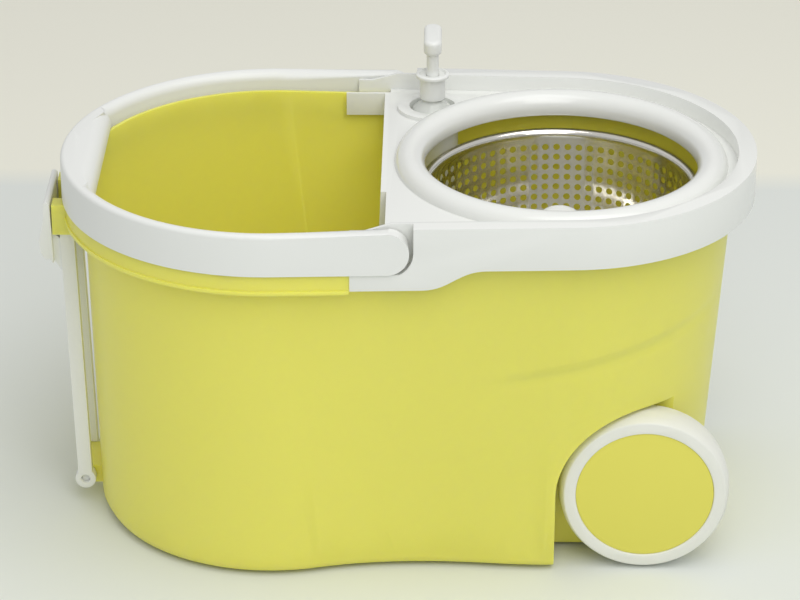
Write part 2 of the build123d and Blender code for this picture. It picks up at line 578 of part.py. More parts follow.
upper_bush_top = HUB_TOP_Z - 8
upper_bush_low = upper_bush_top - BUSH_LEN
lower_bush_low = BASKET_FLOOR_Z - BASE_T
hub = turned((BUSH_R + 0.2, seat_z), (HUB_FLANGE_R, seat_z), (HUB_FLANGE_R, seat_z + HUB_FLANGE_T),
             (HUB_LOW_R + 3, seat_z + HUB_FLANGE_T), (HUB_LOW_R, seat_z + HUB_FLANGE_T + 4),
             (HUB_TOP_R, HUB_TOP_Z - 9), (HUB_TOP_R * 0.8, HUB_TOP_Z - 3.5),
             (HUB_TOP_R * 0.45, HUB_TOP_Z - 0.7), (0, HUB_TOP_Z), (0, upper_bush_top),
             (BUSH_R, upper_bush_top), (BUSH_R, upper_bush_low),
             (HUB_LOW_R - HUB_T - 3, seat_z + 16), (BUSH_R + 0.2, seat_z + 16))
for bore in screw_bores:
    hub -= bore
keep("basket_hub", one(spin_axis * hub, "basket_hub"))
base = turned((BUSH_R, lower_bush_low), (BASE_R - 2, lower_bush_low), (BASE_R, lower_bush_low + 2),
              (BASE_R, BASKET_FLOOR_Z), (BUSH_R, BASKET_FLOOR_Z))
for bore in screw_bores:
    base -= bore
keep("basket_base", one(spin_axis * base, "basket_base"))
bush_bore = SPINDLE_R + SPINDLE_FIT
for name, low in (("lower_bush", lower_bush_low), ("upper_bush", upper_bush_low)):
    bush = rod(0, 0, low, BUSH_R, BUSH_LEN) - rod(0, 0, low - 1, bush_bore, BUSH_LEN + 2)
    keep(name, (spin_axis * bush).solid())
screws = []
for x, y in screw_spots:
    head = rod(x, y, lower_bush_low - SCREW_HEAD_T, SCREW_HEAD_R, SCREW_HEAD_T)
    shank = rod(x, y, lower_bush_low, SCREW_R, BASE_T + BASKET_T + HUB_FLANGE_T - 1.2)
    screws.append((spin_axis * (head + shank)).solid())
keep("basket_screws", Compound(children=screws))
spindle_low = POST_TOP_Z - SPINDLE_SINK
keep("spindle", rod(SPIN_X, 0, spindle_low, SPINDLE_R, upper_bush_top - 0.6 - spindle_low).solid())
washer = rod(SPIN_X, 0, POST_TOP_Z, BUSH_R + 3, WASHER_T)
washer -= rod(SPIN_X, 0, POST_TOP_Z - 1, SPINDLE_R, WASHER_T + 2)
keep("thrust_washer", washer.solid())

# Soap bottle and pump: the bottle stands in the cover's pocket, the head presses and swivels
soap_axis = Pos(SOAP_X, SOAP_Y, 0)
bottle_r = POCKET_R - BOTTLE_GAP
bottle_low = POCKET_FLOOR_Z + RUN
bottle = turned((0, bottle_low), (bottle_r - 2, bottle_low), (bottle_r, bottle_low + 2),
                (bottle_r, BOTTLE_SHOULDER_Z), (bottle_r * 0.9, BOTTLE_SHOULDER_Z + 5),
                (NECK_R + 2.5, BOTTLE_SHOULDER_Z + 9),
                (NECK_R, BOTTLE_SHOULDER_Z + 11), (NECK_R, NECK_TOP_Z), (NECK_R - BOTTLE_T, NECK_TOP_Z),
                (NECK_R - BOTTLE_T, BOTTLE_SHOULDER_Z + 10), (bottle_r - 3, BOTTLE_SHOULDER_Z + 4),
                (bottle_r - BOTTLE_T, BOTTLE_SHOULDER_Z - 1), (bottle_r - BOTTLE_T, bottle_low + 2.5),
                (bottle_r - 2.5, bottle_low + BOTTLE_T), (0, bottle_low + BOTTLE_T))
keep("soap_bottle", one(soap_axis * bottle, "soap_bottle"))
lip_top = NECK_TOP_Z + 1.0
closure = turned((NECK_R, CLOSURE_LOW_Z), (CLOSURE_R, CLOSURE_LOW_Z), (CLOSURE_R, CLOSURE_TOP_Z - FLANGE_T),
                 (FLANGE_R, CLOSURE_TOP_Z - FLANGE_T + 0.8), (FLANGE_R, CLOSURE_TOP_Z),
                 (FLANGE_R - 2.2, CLOSURE_TOP_Z + 0.9), (FLANGE_R - 3.4, CLOSURE_TOP_Z - 0.9),
                 (STEM_R + RUN, CLOSURE_TOP_Z - 0.9), (STEM_R + RUN, lip_top), (NECK_R, lip_top))
keep("pump_closure", one(soap_axis * closure, "pump_closure"))
bore_r = CYLINDER_R - CYLINDER_T
cylinder = turned((DIP_R, CYLINDER_LOW_Z), (CYLINDER_R, CYLINDER_LOW_Z), (CYLINDER_R, NECK_TOP_Z),
                  (NECK_R - 0.4, NECK_TOP_Z), (NECK_R - 0.4, lip_top), (bore_r, lip_top),
                  (bore_r, CYLINDER_LOW_Z + 6), (DIP_R, CYLINDER_LOW_Z + 6))
keep("pump_cylinder", one(soap_axis * cylinder, "pump_cylinder"))
dip = rod(0, 0, DIP_LOW_Z, DIP_R, CYLINDER_LOW_Z + 5 - DIP_LOW_Z)
dip -= rod(0, 0, DIP_LOW_Z - 1, DIP_BORE_R, CYLINDER_LOW_Z + 7 - DIP_LOW_Z)
keep("dip_tube", (soap_axis * dip).solid())
stem_low = CYLINDER_LOW_Z + 6 + PRESS + 16
stem = rod(0, 0, stem_low, STEM_R, STEM_TOP_Z - stem_low)
spring_low = CYLINDER_LOW_Z + 6 + SPRING_WIRE_R
spring_high = stem_low - SPRING_WIRE_R - 0.1
spring_pitch = (spring_high - spring_low) / SPRING_TURNS
coil = Helix(spring_pitch, spring_high - spring_low, SPRING_R)
wire = Plane(coil @ 0, z_dir=coil % 0) * RegularPolygon(SPRING_WIRE_R, 6)
spring = Pos(0, 0, spring_low) * sweep(wire, path=coil)
print("pump spring least gap to itself", round(spring_pitch - 2 * SPRING_WIRE_R, 2), "mm")
keep("pump_spring", one(soap_axis * spring, "pump_spring"))
keep("pump_stem", (soap_axis * stem).solid())
head_low = HEAD_TOP_Z - HEAD_TOP_T - HEAD_SKIRT_H
head_skirt = rod(0, 0, head_low, HEAD_R - 0.8, HEAD_SKIRT_H)
spout_low = HEAD_TOP_Z - HEAD_TOP_T
tip_y = SPOUT_REACH - SPOUT_TIP_W / 2
spout_plan = Polyline((-HEAD_R, 0), (-SPOUT_W / 2, HEAD_R + 4), (-SPOUT_TIP_W / 2, tip_y),
                      (SPOUT_TIP_W / 2, tip_y), (SPOUT_W / 2, HEAD_R + 4), (HEAD_R, 0), close=True)
spout = Pos(0, 0, spout_low) * extrude(make_face(spout_plan), HEAD_TOP_T)
spout += rod(0, 0, spout_low, HEAD_R, HEAD_TOP_T)
spout += rod(0, tip_y, spout_low - 2, SPOUT_TIP_W / 2, HEAD_TOP_T + 2)
head = head_skirt + spout
head -= rod(0, 0, head_low - 1, STEM_R + SPINDLE_FIT, STEM_TOP_Z + RUN - head_low + 1)
keep("pump_head", one(soap_axis * head, "pump_head"))

for name, shape in PARTS.items():
    print(name, [round(v, 1) for v in shape.bounding_box().size])

os.makedirs("parts", exist_ok=True)
for name, shape in PARTS.items():
    export_step(shape, "parts/" + name + ".step")
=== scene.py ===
from math import cos, pi, radians, sin
import bmesh
import bpy
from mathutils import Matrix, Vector


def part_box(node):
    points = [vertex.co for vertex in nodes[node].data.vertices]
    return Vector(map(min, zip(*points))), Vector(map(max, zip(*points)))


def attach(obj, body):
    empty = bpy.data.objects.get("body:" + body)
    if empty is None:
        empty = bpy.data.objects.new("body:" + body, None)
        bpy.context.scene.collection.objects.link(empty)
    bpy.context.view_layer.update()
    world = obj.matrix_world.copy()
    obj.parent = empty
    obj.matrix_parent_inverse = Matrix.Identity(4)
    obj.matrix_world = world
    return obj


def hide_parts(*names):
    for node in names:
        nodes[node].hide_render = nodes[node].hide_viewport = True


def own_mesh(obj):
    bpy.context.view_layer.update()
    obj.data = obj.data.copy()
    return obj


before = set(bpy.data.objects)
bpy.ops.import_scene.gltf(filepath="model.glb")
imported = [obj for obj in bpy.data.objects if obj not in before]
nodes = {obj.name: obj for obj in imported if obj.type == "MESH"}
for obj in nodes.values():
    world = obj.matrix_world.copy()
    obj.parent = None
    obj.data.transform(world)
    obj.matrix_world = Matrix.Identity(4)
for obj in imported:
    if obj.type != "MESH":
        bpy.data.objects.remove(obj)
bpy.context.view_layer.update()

# Tub: the yellow bucket, one injection-moulded polypropylene shell with a satin skin.
# Its walls lean out to the rim, draw in at the waist and step in round the two wheels.
# A soft styling crease rises along each long side, towards the spin end.
MM = 0.001
GRAIN_SIZE = 0.0011
GRAIN_DEPTH = 0.000012
GLOSS_SPREAD = 0.05
MERGE_DIST = 0.000002
FLAT_TURN = 0.4
SIDE_FACING = 0.2
CUT_DIST = 1e-6
CREASE_FROM = Vector((50 * MM, 0, 150.6 * MM))
CREASE_TO_X = 236 * MM
CREASE_RISE = Vector((-0.195, 0, 1)).normalized()
CREASE_HALF = 7.5 * MM
CREASE_DEPTH = 1.3 * MM
CREASE_STEPS = 16
CREASE_ROWS = 4
CREASE_FADE = 4
TUB_EDGE = 0.9 * MM
TUB_GLOW = 0.7
TUB_GLOW_RADIUS = (1.0, 0.9, 0.25)
TUB_GLOW_SCALE = 6 * MM


def surface(name, colour, shade, roughness, grain_size=GRAIN_SIZE, grain_depth=GRAIN_DEPTH,
            coat=0.0, metallic=0.0):
    """A finish with a slow drift in tone, a fine grain and uneven gloss."""
    finish = bpy.data.materials.new(name)
    finish.use_nodes = True
    tree = finish.node_tree
    skin = tree.nodes["Principled BSDF"]
    skin.inputs["IOR"].default_value = 1.49
    skin.inputs["Metallic"].default_value = metallic
    skin.inputs["Coat Weight"].default_value = coat
    skin.inputs["Coat Roughness"].default_value = 0.06
    place = tree.nodes.new("ShaderNodeTexCoord")
    drift = tree.nodes.new("ShaderNodeTexNoise")
    drift.inputs["Scale"].default_value = 7.0
    drift.inputs["Detail"].default_value = 3.0
    tone = tree.nodes.new("ShaderNodeMix")
    tone.data_type = "RGBA"
    tone.inputs["A"].default_value = (*colour, 1)
    tone.inputs["B"].default_value = (*shade, 1)
    handling = tree.nodes.new("ShaderNodeTexNoise")
    handling.inputs["Scale"].default_value = 55.0
    handling.inputs["Detail"].default_value = 4.0
    gloss = tree.nodes.new("ShaderNodeMapRange")
    gloss.inputs["From Min"].default_value = 0.3
    gloss.inputs["From Max"].default_value = 0.7
    gloss.inputs["To Min"].default_value = roughness * (1 - GLOSS_SPREAD)
    gloss.inputs["To Max"].default_value = roughness * (1 + GLOSS_SPREAD)
    grain = tree.nodes.new("ShaderNodeTexNoise")
    grain.inputs["Scale"].default_value = 1.0 / grain_size
    grain.inputs["Detail"].default_value = 2.0
    bump = tree.nodes.new("ShaderNodeBump")
    bump.inputs["Distance"].default_value = grain_depth
    for pattern in (drift, handling, grain):
        tree.links.new(place.outputs["Object"], pattern.inputs["Vector"])
    tree.links.new(drift.outputs["Fac"], tone.inputs["Factor"])
    tree.links.new(tone.outputs["Result"], skin.inputs["Base Color"])
    tree.links.new(handling.outputs["Fac"], gloss.inputs["Value"])
    tree.links.new(gloss.outputs["Result"], skin.inputs["Roughness"])
    tree.links.new(grain.outputs["Fac"], bump.inputs["Height"])
    tree.links.new(bump.outputs["Normal"], skin.inputs["Normal"])
    return finish


def soften(mesh, edges, width, segments, clamp=True):
    """Round the given edges."""
    bmesh.ops.bevel(mesh, geom=edges, offset=width, offset_type="OFFSET", affect="EDGES",
                    segments=segments, profile=0.5, material=-1, clamp_overlap=clamp)


def round_edges(mesh, width, sharp=28.0, segments=3):
    """Round every edge that turns by more than an angle, as the mould's radius does."""
    edges = [e for e in mesh.edges
             if len(e.link_faces) == 2 and e.calc_face_angle() > radians(sharp)]
    soften(mesh, edges, width, segments)


def set_down(name, mesh, finish, body, stands_for, sharp=35.0):
    """Turn a bmesh into a smooth-shaded piece that rides on a body in place of CAD nodes."""
    for face in mesh.faces:
        face.smooth = True
    for edge in mesh.edges:
        edge.smooth = len(edge.link_faces) == 2 and edge.calc_face_angle() < radians(sharp)
    data = bpy.data.meshes.new(name)
    mesh.to_mesh(data)
    mesh.free()
    piece = bpy.data.objects.new(name, data)
    bpy.context.scene.collection.objects.link(piece)
    data.materials.append(finish)
    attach(piece, body)
    if stands_for:
        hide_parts(*stands_for)
    return piece


def copy_of(node):
    """The node's mesh as a merged bmesh whose flat areas are single faces."""
    mesh = bmesh.new()
    mesh.from_mesh(nodes[node].data)
    bmesh.ops.remove_doubles(mesh, verts=mesh.verts, dist=MERGE_DIST)
    bmesh.ops.dissolve_limit(mesh, angle_limit=radians(FLAT_TURN), verts=mesh.verts,
                             edges=mesh.edges)
    return mesh


def outer_sides(mesh):
    """Faces on the outside of the two long walls."""
    return [f for f in mesh.faces
            if f.normal.y * f.calc_center_median().y > 0 and abs(f.normal.y) > SIDE_FACING]


def cut_sides(mesh, point, across):
    """Cut the outside of the long walls along a plane."""
    faces = outer_sides(mesh)
    edges = list(dict.fromkeys(e for f in faces for e in f.edges))
    corners = list(dict.fromkeys(v for f in faces for v in f.verts))
    bmesh.ops.bisect_plane(mesh, geom=faces + edges + corners, plane_co=point, plane_no=across,
                           dist=CUT_DIST)


def press_crease(mesh):
    """Press the rising styling line into both long walls: a soft valley that fades at its ends."""
    length = CREASE_TO_X - CREASE_FROM.x
    for i in range(CREASE_STEPS + 1):
        along = Vector((length * i / CREASE_STEPS, 0, 0))
        cut_sides(mesh, CREASE_FROM + along, Vector((1, 0, 0)))
    for i in range(-CREASE_ROWS, CREASE_ROWS + 1):
        cut_sides(mesh, CREASE_FROM + CREASE_RISE * (CREASE_HALF * i / CREASE_ROWS), CREASE_RISE)
    mesh.normal_update()
    for corner in dict.fromkeys(v for f in outer_sides(mesh) for v in f.verts):
        along = (corner.co.x - CREASE_FROM.x) / length
        off = (corner.co - CREASE_FROM).dot(CREASE_RISE) / CREASE_HALF
        if 0 < along < 1 and abs(off) < 1:
            fade = min(1, CREASE_FADE * along, CREASE_FADE * (1 - along))
            corner.co -= corner.normal * CREASE_DEPTH * fade * cos(off * pi / 2) ** 2


tub_yellow = surface("tub_yellow", (0.86, 0.81, 0.155), (0.84, 0.79, 0.147), 0.38)
tub_skin = tub_yellow.node_tree.nodes["Principled BSDF"]
tub_skin.inputs["Subsurface Weight"].default_value = TUB_GLOW
tub_skin.inputs["Subsurface Radius"].default_value = TUB_GLOW_RADIUS
tub_skin.inputs["Subsurface Scale"].default_value = TUB_GLOW_SCALE
tub = copy_of("tub")
press_crease(tub)
round_edges(tub, TUB_EDGE)
set_down("tub_shell", tub, tub_yellow, "bucket", ["tub"])

# Feet: four pads of soft grey rubber with rounded edges.
# They are plugged into the tub's floor, so only their rims show.
FOOT_EDGE = 0.6 * MM
foot_rubber = surface("foot_rubber", (0.34, 0.35, 0.33), (0.28, 0.29, 0.27), 0.7)
feet = copy_of("foot_pads")
round_edges(feet, FOOT_EDGE)
set_down("foot_pads_soft", feet, foot_rubber, "bucket", ["foot_pads"])

# Stub axles and their push-on clips: drawn steel, with the CAD meshes as they are.
# They carry the wheels and are hidden behind the wheel discs.


def paint(finish, *parts):
    """Give CAD nodes that keep their own mesh a finish."""
    for part in parts:
        nodes[part].data.materials.clear()
        nodes[part].data.materials.append(finish)


axle_steel = surface("axle_steel", (0.42, 0.42, 0.43), (0.36, 0.36, 0.37), 0.32, metallic=1.0)
paint(axle_steel, "stub_axle_front", "axle_clip_front", "stub_axle_rear", "axle_clip_rear")

# Wheels: white plastic with a rounded tread, each with a thin yellow disc pressed into its face.
# They turn on the stub axles, half hidden in the tub's wheel wells.
WHEEL_EDGE = 1.3 * MM
DISC_EDGE = 0.4 * MM
wheel_white = surface("wheel_white", (0.86, 0.865, 0.80), (0.85, 0.855, 0.79), 0.36)
disc_yellow = surface("disc_yellow", (0.82, 0.765, 0.125), (0.80, 0.745, 0.118), 0.34)
for tag, body in (("front", "wheel_front_body"), ("rear", "wheel_rear_body")):
    wheel = copy_of("wheel_" + tag)
    round_edges(wheel, WHEEL_EDGE)
    set_down("wheel_tyre_" + tag, wheel, wheel_white, body, ["wheel_" + tag])
    disc = copy_of("wheel_disc_" + tag)
    round_edges(disc, DISC_EDGE)
    set_down("wheel_cap_" + tag, disc, disc_yellow, body, ["wheel_disc_" + tag])

# Spin cover: the white lid of the spin side, with its skirt, deck, splash wall and soap pocket.
# It snaps over the rim; the thick collar round the basket is polished.
COVER_EDGE = 1.1 * MM
cover_white = surface("cover_white", (0.85, 0.86, 0.825), (0.84, 0.85, 0.815), 0.26, coat=0.5)
cover = copy_of("spin_cover")
round_edges(cover, COVER_EDGE)
set_down("spin_cover_shell", cover, cover_white, "bucket", ["spin_cover"])

# Carry handle: a white channelled bail that lies on the rim round the wash side.
# It swings up on two plastic pins in the cover's cheeks.
# Its top edges are rounded, the inner one most, except where the hand pad lies.
LOOP_MIDDLE = Vector((-91.4 * MM, 0, 0))
TOP_REACH = 0.1 * MM
STEEP = 0.3
BAIL_INNER_R = 7.0 * MM
BAIL_OUTER_R = 3.2 * MM
BAIL_SEGMENTS = 6
BAIL_EDGE = 0.8 * MM
PAD_HALF = 67 * MM
PAD_OVERLAP = 7 * MM
handle_white = surface("handle_white", (0.85, 0.86, 0.83), (0.84, 0.85, 0.82), 0.34)
handle = copy_of("carry_handle")
handle_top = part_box("carry_handle")[1].z


def top_edges(mesh, inside):
    """Edges along the bail's flat top, on the loop's inner side or on its outer side."""
    found = []
    for edge in mesh.edges:
        middle = (edge.verts[0].co + edge.verts[1].co) / 2
        if inside and middle.x < LOOP_MIDDLE.x and abs(middle.y) < PAD_HALF - PAD_OVERLAP:
            continue
        if all(corner.co.z > handle_top - TOP_REACH for corner in edge.verts):
            inward = LOOP_MIDDLE - middle
            if any(abs(f.normal.z) < STEEP and (f.normal.dot(inward) > 0) == inside
                   for f in edge.link_faces):
                found.append(edge)
    return found


for inside, softness in ((True, BAIL_INNER_R), (False, BAIL_OUTER_R)):
    soften(handle, top_edges(handle, inside), softness, BAIL_SEGMENTS, clamp=False)
round_edges(handle, BAIL_EDGE)
set_down("carry_bail", handle, handle_white, "carry_handle_body", ["carry_handle"])

# Hand pad: the rounded white lip at the end of the bail, of the same plastic.
# Its outline is extruded across the bail's end and held inside the bail's curved back.
PAD_EDGE_X = -212.5 * MM
PAD_BACK_X = -236 * MM
PAD_BACK_H = 6 * MM
PAD_BACK_R = 146 * MM
PAD_ROUND = 12 * MM
PAD_ROUND_STEPS = 8
PAD_SINK = 0.05 * MM
PAD_STEPS = 30
pad = bmesh.new()
pad_top = handle_top - PAD_SINK
turn = Vector((PAD_EDGE_X - PAD_ROUND, -PAD_HALF, pad_top - PAD_ROUND))
outline = [Vector((PAD_BACK_X, -PAD_HALF, pad_top - PAD_BACK_H)),
           Vector((PAD_BACK_X, -PAD_HALF, pad_top))]
for i in range(PAD_ROUND_STEPS + 1):
    swing = radians(90 - 90 * i / PAD_ROUND_STEPS)
    outline.append(turn + Vector((PAD_ROUND * cos(swing), 0, PAD_ROUND * sin(swing))))
end_face = pad.faces.new([pad.verts.new(point) for point in outline])
for i in range(PAD_STEPS):
    grown = bmesh.ops.extrude_face_region(pad, geom=[end_face])["geom"]
    corners = [g for g in grown if isinstance(g, bmesh.types.BMVert)]
    bmesh.ops.translate(pad, verts=corners, vec=(0, 2 * PAD_HALF / PAD_STEPS, 0))
    if i:  # the first face stays as the pad's end, the later ones would lie inside it
        pad.faces.remove(end_face)
    end_face = [g for g in grown if isinstance(g, bmesh.types.BMFace)][0]
for corner in pad.verts:
    out = (corner.co - LOOP_MIDDLE).to_2d()
    if out.length > PAD_BACK_R:
        held = out.normalized() * PAD_BACK_R
        corner.co.x = LOOP_MIDDLE.x + held.x
        corner.co.y = held.y
bmesh.ops.recalc_face_normals(pad, faces=pad.faces)
set_down("carry_pad", pad, handle_white, "carry_handle_body", [])

# Pivot pins: two white plastic pins in the cover's cheeks, with the CAD mesh as it is.
# The carry handle swings on them.
pin_white = surface("pin_white", (0.80, 0.80, 0.76), (0.77, 0.77, 0.73), 0.4)
paint(pin_white, "handle_pivot_pins")

# Pull handle: a white frame at the wash end that swings out on a rod in the tub's bracket.
# Its arms rest in two catches under the rim, and its grip is lifted a little towards the rim.
GRIP_FROM_Z = 100 * MM
GRIP_ROOT_X = -243.4 * MM
GRIP_LOW_Z = 168.5 * MM
GRIP_LIFT = 19.5 * MM
GRIP_SHORTER = 0.22
GRIP_BLEND = 7 * MM
PULL_EDGE = 1.2 * MM
pull = copy_of("pull_handle")
for corner in pull.verts:
    if corner.co.z > GRIP_FROM_Z:
        share = min(1, max(0, (GRIP_ROOT_X - corner.co.x) / GRIP_BLEND))
        corner.co.z += share * (GRIP_LIFT - (corner.co.z - GRIP_LOW_Z) * GRIP_SHORTER)
round_edges(pull, PULL_EDGE)
set_down("pull_frame", pull, handle_white, "pull_handle_body", ["pull_handle"])

# Pull rod: the white rod in the tub's bracket that the pull handle swings on.
# Its ends stand a little back in the eyes of the arms.
EYE_RECESS = 2.5 * MM
ROD_EDGE = 0.6 * MM
rod = copy_of("pull_pivot_rod")
rod_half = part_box("pull_pivot_rod")[1].y
for corner in rod.verts:
    corner.co.y *= (rod_half - EYE_RECESS) / rod_half
round_edges(rod, ROD_EDGE)
set_down("pull_rod", rod, handle_white, "bucket", ["pull_pivot_rod"])

# Spin basket: stainless sheet drawn to a drum, punched all over, with its top edge rolled outwards.
# The hub's flange and the base plate clamp its floor, and four screws hold them together.
# Radii and heights of turned outlines are in mm.
spindle_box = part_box("spindle")
AXIS = Vector(((spindle_box[0].x + spindle_box[1].x) / 2, 0, 0))
WELD_DIST = 0.000001
BASKET_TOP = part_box("basket_shell")[1].z / MM
BASKET_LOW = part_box("basket_shell")[0].z / MM
ROLL_R = 4.1
ROLL_DROP = 4.2
ROLL_TURN = 270
ROLL_STEP = 30
RIM_R = 98.0
WALL_LOW_R = 89.2
WALL_HIGH_R = RIM_R - ROLL_R
COLUMNS = 70
ROWS = 11
ROW_PITCH = 7.9
FIRST_ROW = BASKET_LOW + 7
LAST_ROW = FIRST_ROW + ROWS * ROW_PITCH
HOLE_R = 2.8 * MM
HOLE_MARGIN = 0.9 * MM
DRAIN_FROM = 57
DRAIN_TO = 66
DRAIN_EVERY = 5
DRAIN_R = 2.0 * MM
DRAIN_MARGIN = 0.8 * MM
BOTTOM_H = 0.5
BOTTOM_REACH = 1
BOTTOM_LINE = [(12, BOTTOM_H), (40, BOTTOM_H), (DRAIN_FROM, BOTTOM_H), (DRAIN_TO, BOTTOM_H),
               (83, BOTTOM_H), (87, 1.4), (88.6, 3.6)]
SHEET_T = 0.5 * MM


def lathe(outline, axis_point, steps):
    """Spin an open outline of (radius, height) points in mm about an upright axis."""
    mesh = bmesh.new()
    verts = [mesh.verts.new(axis_point + Vector((r * MM, 0, z * MM))) for r, z in outline]
    edges = [mesh.edges.new(pair) for pair in zip(verts, verts[1:])]
    bmesh.ops.spin(mesh, geom=verts + edges, cent=axis_point, axis=(0, 0, 1), angle=2 * pi,
                   steps=steps, use_merge=True)
    bmesh.ops.remove_doubles(mesh, verts=mesh.verts, dist=WELD_DIST)
    bmesh.ops.recalc_face_normals(mesh, faces=mesh.faces)
    return mesh


def punch(mesh, cells, margin, radius):
    """Cut a round hole in the middle of each cell of a sheet."""
    for edge in list(dict.fromkeys(e for cell in cells for e in cell.edges)):
        bmesh.utils.edge_split(edge, edge.verts[0], 0.5)
    bmesh.ops.inset_individual(mesh, faces=cells, thickness=margin, depth=0)
    for cell in cells:
        middle = cell.calc_center_median()
        for corner in cell.verts:
            corner.co = middle + (corner.co - middle).normalized() * radius
    bmesh.ops.delete(mesh, geom=cells, context="FACES")


basket_steel = surface("basket_steel", (0.88, 0.86, 0.80), (0.80, 0.78, 0.72), 0.11,
                       grain_size=0.004, grain_depth=0.00003, metallic=1.0)
sheet = [(r, BASKET_LOW + z) for r, z in BOTTOM_LINE]
wall = [(WALL_LOW_R + (WALL_HIGH_R - WALL_LOW_R) * i / ROWS, FIRST_ROW + ROW_PITCH * i)
        for i in range(ROWS + 1)]
roll = [(RIM_R - ROLL_R * cos(radians(a)), BASKET_TOP - ROLL_DROP + ROLL_R * sin(radians(a)))
        for a in range(0, ROLL_TURN + 1, ROLL_STEP)]
basket = lathe(sheet + wall + roll, AXIS, COLUMNS)
cells = []
drains = []
for face in basket.faces:
    middle = face.calc_center_median()
    reach = (middle - AXIS).to_2d().length / MM
    height = middle.z / MM
    if FIRST_ROW < height < LAST_ROW and reach < WALL_HIGH_R:
        cells.append(face)
    if height < BASKET_LOW + BOTTOM_REACH and DRAIN_FROM < reach < DRAIN_TO:
        drains.append(face)
punch(basket, cells, HOLE_MARGIN, HOLE_R)
punch(basket, drains[::DRAIN_EVERY], DRAIN_MARGIN, DRAIN_R)
drum = set_down("basket_drum", basket, basket_steel, "basket", ["basket_shell"],
                sharp=80.0)
rounding = drum.modifiers.new("rounding", "SUBSURF")
rounding.levels = 1
rounding.render_levels = 1
gauge = drum.modifiers.new("gauge", "SOLIDIFY")
gauge.thickness = SHEET_T
gauge.offset = 0

# Hub: a white moulded dome on a flange, hollow round the spindle and its bushes.
# The flange lies on the basket's floor, and the mop plate's socket drops over the dome.
HUB_BORE_R = 9.3
HUB_ROOF = 8
HUB_LIFT = 0.1
HUB_FLANGE_R = 40
HUB_FLANGE_H = 4
HUB_LOW_R = 23.5
HUB_TOP_R = 15.5
HUB_STEPS = 64
CROWN_FROM_R = 10 * MM
CROWN_R = 9 * MM
CROWN_SEGMENTS = 7
LEVEL = 0.01
HUB_EDGE = 1.0 * MM
hub_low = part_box("basket_hub")[0].z / MM
hub_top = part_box("basket_hub")[1].z / MM
hub_line = [(0, hub_top - HUB_ROOF), (HUB_BORE_R, hub_top - HUB_ROOF),
            (HUB_BORE_R, hub_low + HUB_LIFT), (HUB_FLANGE_R, hub_low + HUB_LIFT),
            (HUB_FLANGE_R, hub_low + HUB_FLANGE_H), (HUB_LOW_R, hub_low + HUB_FLANGE_H),
            (HUB_TOP_R, hub_top), (0, hub_top)]
hub = lathe(hub_line, AXIS, HUB_STEPS)
crown = [e for e in hub.edges if all(abs(v.co.z / MM - hub_top) < LEVEL for v in e.verts)
         and all((v.co - AXIS).to_2d().length > CROWN_FROM_R for v in e.verts)]
soften(hub, crown, CROWN_R, CROWN_SEGMENTS)
round_edges(hub, HUB_EDGE, sharp=40.0)
set_down("basket_dome", hub, handle_white, "basket", ["basket_hub"])

# Drive pieces under the hub: plastic base plate, bushes and washer, steel screws and spindle.
# They are hidden at rest and keep the CAD meshes as they are.
paint(handle_white, "basket_base")
paint(pin_white, "lower_bush", "upper_bush", "thrust_washer")
paint(axle_steel, "basket_screws", "spindle")

# Soap bottle: clear blown plastic that stands in the cover's pocket and lifts out.
# The dip tube hangs in it, of the same clear plastic.
BOTTLE_EDGE = 0.9 * MM
clear_plastic = surface("clear_plastic", (0.93, 0.95, 0.90), (0.90, 0.93, 0.87), 0.08,
                        grain_size=0.006, grain_depth=0.00004)
clear_skin = clear_plastic.node_tree.nodes["Principled BSDF"]
clear_skin.inputs["Transmission Weight"].default_value = 0.35
clear_skin.inputs["IOR"].default_value = 1.42
bottle = copy_of("soap_bottle")
round_edges(bottle, BOTTLE_EDGE, sharp=12.0)
set_down("soap_flask", bottle, clear_plastic, "soap", ["soap_bottle"])
paint(clear_plastic, "dip_tube")

# Soap pump: a white cap screwed on the bottle's neck, with a cylinder, a stem and a steel spring.
# The spring is squashed as the pump is pressed.
# The head on the stem is a flat bar with round ends, and turns.
CAP_EDGE = 0.5 * MM
HEAD_W = 13.4 * MM
HEAD_END_R = 6.5 * MM
HEAD_END_SEGMENTS = 8
HEAD_EDGE = 3.2 * MM
HEAD_EDGE_SEGMENTS = 5
UPRIGHT_FROM = 5 * MM
paint(pin_white, "pump_cylinder")
paint(handle_white, "pump_stem")
coil = set_down("pump_coil", copy_of("pump_spring"), axle_steel, "soap", ["pump_spring"],
                sharp=80.0)
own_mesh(coil)
closure = copy_of("pump_closure")
round_edges(closure, CAP_EDGE)
set_down("pump_cap", closure, handle_white, "soap", ["pump_closure"])
head = bmesh.new()
head_low, head_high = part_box("pump_head")
head_size = Vector((HEAD_W, head_high.y - head_low.y, head_high.z - head_low.z))
bmesh.ops.create_cube(head, size=1.0)
bmesh.ops.scale(head, vec=head_size, verts=head.verts)
bmesh.ops.translate(head, vec=(head_low + head_high) / 2, verts=head.verts)
upright = [e for e in head.edges if abs(e.verts[0].co.z - e.verts[1].co.z) > UPRIGHT_FROM]
soften(head, upright, HEAD_END_R, HEAD_END_SEGMENTS, clamp=False)
round_edges(head, HEAD_EDGE, sharp=50.0, segments=HEAD_EDGE_SEGMENTS)
set_down("pump_button", head, handle_white, "pump_top", ["pump_head"])

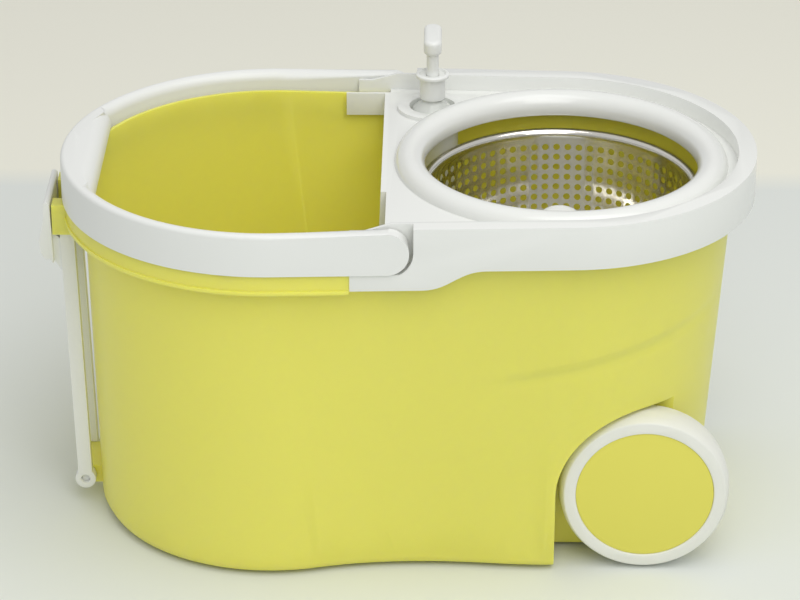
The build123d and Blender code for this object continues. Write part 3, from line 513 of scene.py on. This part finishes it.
# Floor, lamps and camera: a pale floor under flat, bright light, seen from the front and above.
# The floor is a cool white that turns to a warmer one behind the bucket.
FLOOR_HALF = 5.0
CHANGE_FROM_Y = 0.55
CHANGE_TO_Y = 0.59
LAMP_AIM = Vector((0, 0, 0.12))
LAMPS = [("top_lamp", (0.45, -0.4, 2.2), 1.4, 13.0), ("front_lamp", (0.5, -1.9, 2.1), 1.6, 21.0)]
TURN = radians(0.8)
DIP = radians(26.3)
AIM = Vector((0.0017, 0, 0.1594))
DISTANCE = 2.4617
floor_mesh = bmesh.new()
bmesh.ops.create_grid(floor_mesh, x_segments=1, y_segments=1, size=FLOOR_HALF)
floor_data = bpy.data.meshes.new("floor")
floor_mesh.to_mesh(floor_data)
floor_mesh.free()
floor = bpy.data.objects.new("floor", floor_data)
bpy.context.scene.collection.objects.link(floor)
floor_finish = bpy.data.materials.new("floor_pale")
floor_finish.use_nodes = True
floor_tree = floor_finish.node_tree
floor_place = floor_tree.nodes.new("ShaderNodeTexCoord")
floor_parts = floor_tree.nodes.new("ShaderNodeSeparateXYZ")
floor_change = floor_tree.nodes.new("ShaderNodeMapRange")
floor_change.inputs["From Min"].default_value = CHANGE_FROM_Y
floor_change.inputs["From Max"].default_value = CHANGE_TO_Y
floor_tone = floor_tree.nodes.new("ShaderNodeMix")
floor_tone.data_type = "RGBA"
floor_tone.inputs["A"].default_value = (0.79, 0.82, 0.785, 1)
floor_tone.inputs["B"].default_value = (0.92, 0.91, 0.80, 1)
floor_skin = floor_tree.nodes["Principled BSDF"]
floor_skin.inputs["Roughness"].default_value = 0.9
floor_tree.links.new(floor_place.outputs["Object"], floor_parts.inputs["Vector"])
floor_tree.links.new(floor_parts.outputs["Y"], floor_change.inputs["Value"])
floor_tree.links.new(floor_change.outputs["Result"], floor_tone.inputs["Factor"])
floor_tree.links.new(floor_tone.outputs["Result"], floor_skin.inputs["Base Color"])
floor_data.materials.append(floor_finish)

world = bpy.data.worlds.new("studio")
bpy.context.scene.world = world
world.use_nodes = True
sky_tree = world.node_tree
sky = sky_tree.nodes["Background"]
sky.inputs["Strength"].default_value = 0.58
sky_place = sky_tree.nodes.new("ShaderNodeTexCoord")
sky_parts = sky_tree.nodes.new("ShaderNodeSeparateXYZ")
sky_bands = sky_tree.nodes.new("ShaderNodeValToRGB")
sky_bands.color_ramp.elements[0].position = 0.30
sky_bands.color_ramp.elements[0].color = (0.52, 0.52, 0.50, 1)
sky_bands.color_ramp.elements[1].position = 0.46
sky_bands.color_ramp.elements[1].color = (1.0, 1.0, 1.0, 1)
low_band = sky_bands.color_ramp.elements.new(0.12)
low_band.color = (0.95, 0.97, 1.0, 1)
sky_tree.links.new(sky_place.outputs["Generated"], sky_parts.inputs["Vector"])
sky_tree.links.new(sky_parts.outputs["Z"], sky_bands.inputs["Fac"])
sky_tree.links.new(sky_bands.outputs["Color"], sky.inputs["Color"])
for name, spot, size, power in LAMPS:
    lamp_data = bpy.data.lights.new(name, "AREA")
    lamp_data.size = size
    lamp_data.energy = power
    lamp = bpy.data.objects.new(name, lamp_data)
    lamp.location = spot
    lamp.rotation_euler = (LAMP_AIM - Vector(spot)).to_track_quat("-Z", "Y").to_euler()
    bpy.context.scene.collection.objects.link(lamp)

camera_data = bpy.data.cameras.new("camera")
camera_data.lens = 150.75
camera_data.sensor_width = 36.0
camera_data.clip_start = 0.05
camera = bpy.data.objects.new("camera", camera_data)
look = Vector((-sin(TURN) * cos(DIP), cos(TURN) * cos(DIP), -sin(DIP)))
camera.location = AIM - look * DISTANCE
camera.rotation_euler = look.to_track_quat("-Z", "Y").to_euler()
bpy.context.scene.collection.objects.link(camera)
bpy.context.scene.camera = camera
bpy.context.scene.view_settings.view_transform = "Standard"

bpy.context.view_layer.update()
